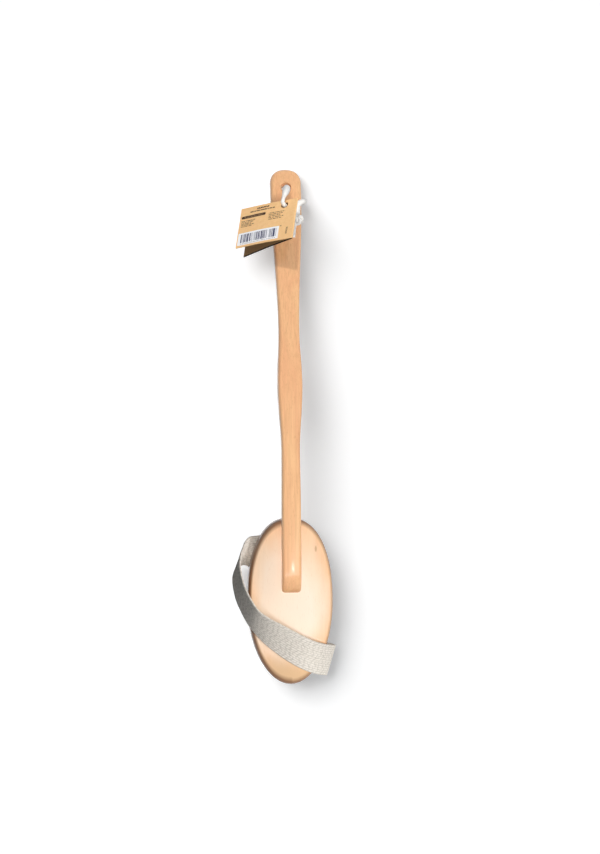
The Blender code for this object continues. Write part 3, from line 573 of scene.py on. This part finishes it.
bow_out = rng.normal(0, 0.00015, (count, 2))
middle_xy = root + (tip - root) * HAIR_BEND + bow_out
xy = np.stack([root, middle_xy, tip], 1)
z = np.stack([np.full(count, HEAD_UNDER + 0.0002), np.full(count, BEND_Z), rng.uniform(0.0, 0.0003, count)], 1)
angle = np.arange(3) * 2 * np.pi / 3
triangle = np.stack([np.cos(angle), np.sin(angle)], -1)
thick = np.array([0.00019, 0.00017, 0.00010])
hair = np.empty((count, 3, 3, 3))
hair[..., :2] = xy[:, :, None] + thick[None, :, None, None] * triangle
hair[..., 2] = z[:, :, None]
first = (np.arange(count) * 9)[:, None, None]
k, j = np.meshgrid([0, 1], [0, 1, 2], indexing="ij")
a, b = (k * 3 + j).ravel(), (k * 3 + (j + 1) % 3).ravel()
sides = (first[:, 0] + a)[..., None], (first[:, 0] + b)[..., None]
quads = np.concatenate([sides[0], sides[0] + 3, sides[1] + 3, sides[1]], -1).reshape(-1, 4)
mesh = bpy.data.meshes.new("bristle_tufts")
mesh.from_pydata(hair.reshape(-1, 3), [], quads.tolist() + (first[:, 0] + np.array([6, 8, 7])).tolist())
shade = rng.uniform(0, 1, count)
uv = np.zeros((len(mesh.loops), 2))
uv[:count * 24, 0] = np.repeat(shade, 24)
uv[:count * 24, 1] = np.tile(np.repeat([0, 0.5], 12) + np.tile([0, 0.5, 0.5, 0], 6), count)
uv[count * 24:] = np.column_stack([np.repeat(shade, 3), np.ones(count * 3)])
mesh.uv_layers.new(name="UVMap").data.foreach_set("uv", uv.ravel())
bristles = piece("bristle_tufts", mesh)
paint = Paint("bristle", 0.55)
tone, towards_tip = paint.uv()
tint = paint.mix(paint.ramp(towards_tip, (0.0, 0.0), (0.35, 1.0)), (0.34, 0.22, 0.11), (0.84, 0.69, 0.48))
tint = paint.mix(paint.ramp(tone, (0.55, 0.0), (0.95, 0.7)), tint, (0.52, 0.36, 0.20))
tint = paint.mix(paint.ramp(towards_tip, (0.8, 0.0), (1.0, 0.6)), tint, (0.92, 0.83, 0.67))
wear(bristles, paint.finish(Base_Color=tint), "bristle", "head_body", "bristle_field")

# Hand strap
# Undyed cotton webbing, 26 mm wide and 1.6 mm thick, in a herringbone weave. Its ends are tacked flat
# under the rim, and between them it stands up beside the head and leans over its back.
STRAP_WIDTH, STRAP_THICKNESS, STRAP_END_INSET = 0.026, 0.0016, 0.0072
STRAP_STATIONS = (
    (-0.85, 0.583, 0.00, -6, 0), (-0.94, 0.571, 0.00, -7, 21), (-1.02, 0.56, 0.01, -7, 42),
    (-1.105, 0.53, 0.07, 2, 53), (-1.19, 0.478, 0.19, 12, 57), (-1.25, 0.36, 0.44, 19, 58),
    (-1.225, 0.215, 0.70, 22, 58), (-1.155, 0.08, 0.94, 24, 58), (-1.035, -0.055, 1.145, 25, 57),
    (-0.88, -0.185, 1.32, 28, 55), (-0.67, -0.287, 1.41, 31, 47), (-0.435, -0.379, 1.445, 32, 37),
    (-0.18, -0.466, 1.44, 33, 29), (0.08, -0.551, 1.41, 32, 23), (0.335, -0.622, 1.30, 30, 17),
    (0.57, -0.674, 1.055, 26, 9), (0.765, -0.708, 0.67, 21, 3), (0.92, -0.73, 0.28, 18, 1),
    (0.97, -0.739, 0.08, 17, 0), (0.92, -0.73, -0.09, 17, 0), (0.80, -0.708, 0.00, 17, 0),
)
strap_level = HEAD_UNDER - 0.0003 - STRAP_THICKNESS / 2
strap_crest = HEAD_EDGE + HEAD_CROWN + 0.0003 + STRAP_THICKNESS / 2
sx, sy, rise, heading, tilt = np.array(STRAP_STATIONS).T
heading, tilt = np.radians(heading), np.radians(tilt)
middle = np.stack([sx * HEAD_HALF[0], sy * HEAD_HALF[1], strap_level + rise * (strap_crest - strap_level)], -1)
width_way = np.stack([np.cos(tilt) * np.sin(heading), np.cos(tilt) * np.cos(heading), np.sin(tilt)], -1)
middle, width_way = spline(middle, 20), unit(spline(width_way, 20))
across = np.linspace(-0.5, 0.5, 97)
band = middle[:, None] + STRAP_WIDTH * across[None, :, None] * width_way[:, None]


def trimmed(row, sign):
    """The row's points moved in under the head until each meets the trimming line along the rim."""
    way = unit(row[-1] - row[0])
    inward = sign * np.array([-way[1], way[0], 0.0])
    steps = np.arange(0, 0.06, 0.00005)[:, None, None]
    walk = row + steps * inward
    power = fullness(walk[..., 1])
    level = (np.abs(walk[..., 0] / (HEAD_HALF[0] - STRAP_END_INSET)) ** power
             + np.abs(walk[..., 1] / (HEAD_HALF[1] - STRAP_END_INSET)) ** power)
    reached = np.where((level <= 1).any(axis=0), (level <= 1).argmax(axis=0), level.argmin(axis=0))
    return walk[reached, np.arange(row.shape[0])]


def tab(row, sign):
    """Rows from the trimmed end to the row, evenly spread."""
    end = trimmed(row, sign)
    t = np.linspace(0, 1, 24)[:-1, None, None]
    return end + t * (row - end)


def close_ends(thing, rows, columns, smooth=False):
    """Quads across both open ends of a band whose rows run out over one face and back over the other."""
    closed = bmesh.new()
    closed.from_mesh(thing.data)
    closed.verts.ensure_lookup_table()
    for start in (0, (rows - 1) * 2 * columns):
        for k in range(columns - 1):
            corners = (start + k, start + k + 1, start + 2 * columns - 2 - k, start + 2 * columns - 1 - k)
            closed.faces.new([closed.verts[c] for c in corners]).smooth = smooth
    bmesh.ops.recalc_face_normals(closed, faces=closed.faces[:])
    closed.to_mesh(thing.data)
    closed.free()


band = np.concatenate([tab(band[0], -1), band, tab(band[-1], 1)[::-1]])
run = along(band[:, 48])
face = unit(np.cross(np.gradient(band, axis=0), np.gradient(band, axis=1)))
lengthwise, crosswise = np.meshgrid(run, across * STRAP_WIDTH, indexing="ij")
ROW, STITCH, RELIEF, SELVEDGE = 0.0018, 0.0041, 0.00020, 0.0009
line = crosswise / ROW + 8
row_number = np.floor(line).astype(int)
row_share = line - row_number
shift = 0.5 * (row_number % 2) + rng.uniform(-0.16, 0.16, 24)[row_number % 24]
sway = (0.26 * np.sin(lengthwise / 0.0046 + 2.4 * row_number)
        + 0.20 * np.sin(lengthwise / 0.0017 + 4.1 * row_number))
slant = np.where(row_number // 3 % 2 > 0, 0.30, -0.30) * (row_share - 0.5)
yarn = (np.abs(np.sin(np.pi * (lengthwise / STITCH + shift + sway + slant))) ** 0.45
        * np.sin(np.pi * row_share) ** 0.45)
relief = RELIEF * (yarn - 0.6)
selvedge = np.clip((STRAP_WIDTH / 2 - np.abs(crosswise)) / SELVEDGE, 0, 1)
half = STRAP_THICKNESS / 2 * np.sqrt(1 - (1 - selvedge) ** 2 * 0.9) + relief * selvedge
top, bottom = band + face * half[..., None], band - face * half[..., None]
loop = np.concatenate([top, bottom[:, ::-1]], axis=1)
uv = np.stack(np.broadcast_arrays(run[:, None] / STITCH,
              np.concatenate([across, across[::-1], across[:1]])[None] * STRAP_WIDTH / ROW), -1)
strap = surface("strap_webbing", loop, uv, caps=False, sharp=75)
strap.data.attributes.new("yarn", "FLOAT", "POINT").data.foreach_set(
    "value", np.concatenate([yarn, yarn[:, ::-1]], axis=1).ravel())
close_ends(strap, len(run), len(across), smooth=True)
paint = Paint("strap_webbing", 0.95)
weave_shade_mask = paint.node("ShaderNodeAttribute", {"attribute_name": "yarn"}, output="Fac")
fibres = paint.noise(paint.coordinates("Object"), 1300.0, 3.0, 0.65)
patch = paint.noise(paint.coordinates("Object"), 420.0, 3.0, 0.6)
# Painted shade in the weave: darker where the yarn relief sinks between the crests.
tint = paint.mix(paint.ramp(weave_shade_mask, (0.2, 0.0), (0.75, 1.0)), (0.52, 0.47, 0.40), (0.86, 0.80, 0.72))
tint = paint.mix(paint.ramp(patch, (0.42, 0.0), (0.62, 0.6)), tint, (0.70, 0.64, 0.56))
tint = paint.mix(paint.ramp(fibres, (0.5, 0.0), (0.8, 0.5)), tint, (0.90, 0.86, 0.79))
normal = paint.bump(fibres, 0.0003, 0.6)
paint.shader.inputs["Specular IOR Level"].default_value = 0.25
paint.shader.inputs["Sheen Weight"].default_value = 0.2
wear(strap, paint.finish(Base_Color=tint, Normal=normal), "strap_webbing", "head_body", "strap")

# Strap tacks
# Four small domed steel tacks, two through each end of the strap into the head's rim. Each is a low dome
# under the strap with a thin pointed shank above it.
TACKS = {"tack_left_far": (-0.02678, 0.03410), "tack_left_near": (-0.02310, 0.04494),
         "tack_right_far": (0.01830, -0.05003), "tack_right_near": (0.02310, -0.04062)}
DOME_RADIUS, DOME_DEPTH, SHANK_RADIUS, TACK_Z = 0.0024, 0.0009, 0.0008, 0.0158
steel = Paint("tack_steel", 0.32)
brushed = steel.noise(steel.coordinates("Object", (2500, 2500, 300)), 1.0, 3.0)
steel.shader.inputs["Metallic"].default_value = 1.0
steel_tint = steel.ramp(brushed, (0.3, (0.42, 0.42, 0.43)), (0.7, (0.72, 0.72, 0.72)))
steel_material = steel.finish(Base_Color=steel_tint,
                              Roughness=steel.ramp(brushed, (0.3, 0.25), (0.7, 0.45)))
for name, (x, y) in TACKS.items():
    fall = np.linspace(0.02, np.pi / 2, 9)
    radius = np.concatenate([DOME_RADIUS * np.sin(fall),
                             [DOME_RADIUS, 0.0022, SHANK_RADIUS, SHANK_RADIUS, 0.0001]])
    rise = np.concatenate([-DOME_DEPTH * np.cos(fall) - 0.0001, [0.0, 0.0, 0.0, 0.0070, 0.0090]])
    lathe = np.column_stack([np.full(len(rise), x), np.full(len(rise), y), TACK_Z + rise])
    angle = np.linspace(0, 2 * np.pi, 28, endpoint=False)
    disc = np.stack([np.cos(angle), np.sin(angle), np.zeros(28)], -1)
    tack = surface(name + "_steel", lathe[:, None] + radius[:, None, None] * disc)
    wear(tack, steel_material, "tack_steel", "head_body", name)

# Tag
# A card of unbleached brown board, folded once along its right side, with both leaves threaded on the
# cord. The front leaf is printed in black with plain rules, a bar and a striped white panel.
TAG_CORNER = np.array([0.0071, 0.3242, 0.03863])
TAG_DOWN = unit(np.array([-0.1609, -0.8279, 0.5373]))
TAG_FRONT = unit(np.array([-0.8727, -0.1348, -0.4692]))
TAG_REAR = unit(np.array([-0.7433, -0.2565, -0.6178]))
TAG_WIDTH, TAG_HEIGHT, TAG_THICKNESS = 0.0495, 0.0408, 0.0005
TAG_HOLE, TAG_HOLE_RADIUS = (0.0105, 0.0048), 0.0032


def leaf(name, way, out, curl, fold=False):
    """Card leaf as a closed slab: corner + a * way + d * down, bowed by curl * sin(pi a / width)^2. With
    fold, its edge at the corner rolls round towards the other leaf."""
    face = unit(np.cross(way, TAG_DOWN)) * out
    a = np.linspace(0, TAG_WIDTH, 51)
    d = np.linspace(0, TAG_HEIGHT, 42)
    lift = 0.00015 + TAG_THICKNESS / 2 + curl * np.sin(np.pi * a / TAG_WIDTH) ** 2
    path = a[:, None] * way + lift[:, None] * face
    if fold:
        turn = np.linspace(0, np.radians(150), 9)[:, None][::-1]
        centre = 0.00012 * way
        roll = centre + 0.0004 * (np.cos(turn) * face - np.sin(turn) * way)
        path, a = np.concatenate([roll[:-1], path[1:]]), np.concatenate([np.full(8, 0.0), a[1:]])
    normals = unit(np.cross(np.gradient(path, axis=0), TAG_DOWN)) * out
    sheet = TAG_CORNER + path[:, None] + d[None, :, None] * TAG_DOWN
    thick = (normals * TAG_THICKNESS / 2)[:, None]
    loop = np.concatenate([sheet + thick, (sheet - thick)[:, ::-1]], axis=1)
    v = np.concatenate([d, d[::-1], d[:1]])
    uv = np.stack(np.broadcast_arrays(a[:, None] * 1000, v[None] * 1000), -1)
    made = surface(name, loop, uv, caps=False, sharp=30)
    close_ends(made, len(path), len(d))
    hole = TAG_CORNER + TAG_HOLE[0] * way + TAG_HOLE[1] * TAG_DOWN
    drill = hole + np.linspace(-0.002, 0.003, 3)[:, None] * face
    carve(made, surface("punch", tube(drill, TAG_HOLE_RADIUS, 40)))
    return made


def card(name, printed_else_shaded):
    """Unbleached board: warm brown with pale and dark fibres. Printed, it has black marks, given in millimetres
    from the fold and from the top edge. Unprinted, it is painted darker as shade, with a near-black painted
    shadow line along its bottom edge."""
    paint = Paint(name, 0.85)
    paint.shader.inputs["Specular IOR Level"].default_value = 0.2
    place = paint.coordinates("Object")
    pulp = paint.noise(place, 420.0, 4.0, 0.7)
    fibre = paint.noise(paint.coordinates("Object", (2600, 500, 900), (0.3, 0.2, 0.5)), 1.0, 2.0, 0.6)
    tint = paint.ramp(pulp, (0.3, (0.92, 0.56, 0.26)), (0.7, (0.99, 0.64, 0.32)))
    tint = paint.mix(paint.ramp(fibre, (0.62, 0.0), (0.8, 0.35)), tint, (0.60, 0.34, 0.14))
    u, v = paint.uv()
    if printed_else_shaded:
        tint = paint.mix(u.band(12.6, 48.6) * v.band(26.2, 38.8), tint, (0.98, 0.98, 1.0))
        code = paint.line_noise(u + 40.0, 1.15, 1.0)
        group = paint.line_noise(u, 0.16)
        bars = (code.math("GREATER_THAN", 0.48) * u.band(14.4, 46.4) * v.band(27.8, 36.4)
                * (group * 1.9).math("MINIMUM", 1.0))
        tint = paint.mix(bars, tint, (0.035, 0.04, 0.11))
        words = paint.line_noise(u + (v * 0.66).math("FLOOR") * 17.0, 1.3).math("GREATER_THAN", 0.38)
        ink = u.band(24.0, 35.0) * v.band(2.3, 3.8) + u.band(18.7, 40.7) * v.band(4.9, 6.1) * 0.85
        for start, end, first_row, rows_down, pitch, strength in (
                (35.0, 47.6, 13.6, 5, 1.4, 0.8), (9.4, 23.4, 10.6, 5, 1.6, 0.8),
                (14.6, 46.4, 37.2, 1, 1.0, 0.5)):
            for k in range(rows_down):
                low = first_row + k * pitch
                ink = ink + u.band(start + (k * 37 % 5) * 0.9, end) * v.band(low, low + 0.8) * strength
        ink = ink + u.band(4.9, 6.5) * v.band(28.5, 35.5) * 0.6 + u.band(10.6, 12.0) * v.band(25.8, 27.0) * 0.5
        bar = u.band(26.4, 48.0) * v.band(9.3, 11.0) + u.band(26.9, 47.5) * v.band(8.8, 11.5)
        inner = u.band(28.8, 45.6) * v.band(9.8, 10.6) * words
        ink = ink * words + bar.math("MINIMUM", 0.97) - inner * 0.3
        tint = paint.mix(ink.math("MINIMUM", 0.97), tint, (0.03, 0.02, 0.02))
    else:
        # Painted shade over the rear leaf, and a painted shadow line along its bottom edge.
        tint = paint.mix(0.6, tint, (0.13, 0.07, 0.035))
        tint = paint.mix(v.math("GREATER_THAN", 39.9), tint, (0.02, 0.016, 0.014))
    return paint.finish(Base_Color=tint, Normal=paint.bump(pulp, 0.0001, 0.3))


front = leaf("tag_front_card", TAG_FRONT, 1, 0.0006, fold=True)
rear = leaf("tag_rear_card", TAG_REAR, -1, -0.0004)
wear(front, card("tag_card_printed", True), "tag_card", "tag_front", "tag_front_leaf")
wear(rear, card("tag_card_painted_shade", False), "tag_card", "tag_rear", "tag_rear_leaf")

# Floor and lights
# A floor that is bright to the camera and in reflections. Suns stand to the right, beyond the handle's tip
# and to the upper left, each for its own pieces, with a panel overhead, a small spot for the highlight on
# the nose and a sun that throws the brush's shadow on the floor alone.
bpy.ops.mesh.primitive_plane_add(size=6.0, location=(0, 0.14, 0))
floor = bpy.context.object
floor.name = "floor"
ground = Paint("floor_white", 1.0)
ground.shader.inputs["Base Color"].default_value = (0.75, 0.75, 0.75, 1)
ground.shader.inputs["Specular IOR Level"].default_value = 0.0
rays = ground.node("ShaderNodeLightPath").output.node.outputs
seen = sum(Socket(ground, rays["Is " + ray + " Ray"]) for ray in ("Camera", "Glossy", "Transmission"))
dim = ground.node("ShaderNodeBsdfDiffuse", None, {"Color": (0.22, 0.22, 0.22, 1)})
glow = ground.node("ShaderNodeEmission", None, {"Color": (1, 1, 1, 1), "Strength": 0.43})
lifted = ground.node("ShaderNodeAddShader", None, {0: Socket(ground, ground.shader.outputs[0]), 1: glow})
shown = ground.node("ShaderNodeMixShader", None, {0: seen, 1: dim, 2: lifted})
ground.tree.links.new(shown.output, ground.tree.nodes["Material Output"].inputs["Surface"])
floor.data.materials.append(ground.material)

world = bpy.data.worlds.new("studio")
bpy.context.scene.world = world
world.use_nodes = True
sky = world.node_tree
backdrop, ambient, blend = (sky.nodes.new(kind) for kind in
                            ("ShaderNodeBackground", "ShaderNodeBackground", "ShaderNodeMixShader"))
backdrop.inputs["Color"].default_value = (1, 1, 1, 1)
ambient.inputs["Color"].default_value = (0.84, 0.91, 1, 1)
backdrop.inputs["Strength"].default_value = 1.0
ambient.inputs["Strength"].default_value = 0.08
sky_rays, either, any_of = (sky.nodes.new(kind) for kind in
                            ("ShaderNodeLightPath", "ShaderNodeMath", "ShaderNodeMath"))
sky.links.new(sky_rays.outputs["Is Camera Ray"], either.inputs[0])
sky.links.new(sky_rays.outputs["Is Glossy Ray"], either.inputs[1])
sky.links.new(either.outputs[0], any_of.inputs[0])
sky.links.new(sky_rays.outputs["Is Transmission Ray"], any_of.inputs[1])
sky.links.new(any_of.outputs[0], blend.inputs[0])
sky.links.new(ambient.outputs[0], blend.inputs[1])
sky.links.new(backdrop.outputs[0], blend.inputs[2])
sky.links.new(blend.outputs[0], sky.nodes["World Output"].inputs["Surface"])
LAMP_TARGET = Vector((0.0, 0.02, 0.03))
SPOT_RADIUS = 0.003


def lamp(kind, name, towards, energy, spread, only=(), passes=()):
    """Sun or spot of the given angle, or panel of the given sides, that faces the head from the offset
    towards. It lights the pieces named in only, or else all but the floor, and the pieces in passes cast
    no shadow from it."""
    light = bpy.data.objects.new(name, bpy.data.lights.new(name, kind))
    light.data.energy = energy
    if kind == "SUN":
        light.data.angle = np.radians(spread)
        light.visible_glossy = False
    elif kind == "SPOT":
        light.data.spot_size, light.data.shadow_soft_size = np.radians(spread), SPOT_RADIUS
        light.data.diffuse_factor = 0.0
    else:
        light.data.shape = "RECTANGLE"
        light.data.size, light.data.size_y = spread
    light.visible_camera = False
    light.location = LAMP_TARGET + Vector(towards)
    light.rotation_euler = Vector(towards).to_track_quat("Z", "Y").to_euler()
    bpy.context.scene.collection.objects.link(light)
    for use, pieces, state in (("receiver", only or [floor], "INCLUDE" if only else "EXCLUDE"),
                               ("blocker", passes, "EXCLUDE")):
        if pieces:
            group = bpy.data.collections.new(name + "_" + use)
            for thing in pieces:
                group.objects.link(thing)
            for entry in group.collection_objects:
                entry.light_linking.link_state = state
            setattr(light.light_linking, use + "_collection", group)


# Each lamp is sampled by itself: a tree of linked lamps gives another picture on each run.
bpy.context.scene.cycles.use_light_tree = False
lamp("SUN", "fill", (0.46, -0.18, 1.0), 1.82, 20, passes=[handle, cord])
lamp("SUN", "side", (0.75, -0.15, 1.0), 1.10, 12, only=[head, strap], passes=[handle, strap, head])
lamp("SUN", "key", (-0.22, 0.74, 1.0), 1.10, 4, only=[handle, front, rear, cord, knot])
lamp("SUN", "tag_lamp", (-0.40, 0.60, 1.0), 0.6, 10, only=[front, rear, cord, knot])
lamp("AREA", "panel", (0.04, -0.19, 1.1), 2.0, (0.86, 0.20))
lamp("SPOT", "glint", (0.0168, -0.0033, 0.167), 0.025, 24, only=[handle])
lamp("SUN", "floor_lamp", (-0.60, 0.46, 1.0), 2.95, 42, only=[floor])
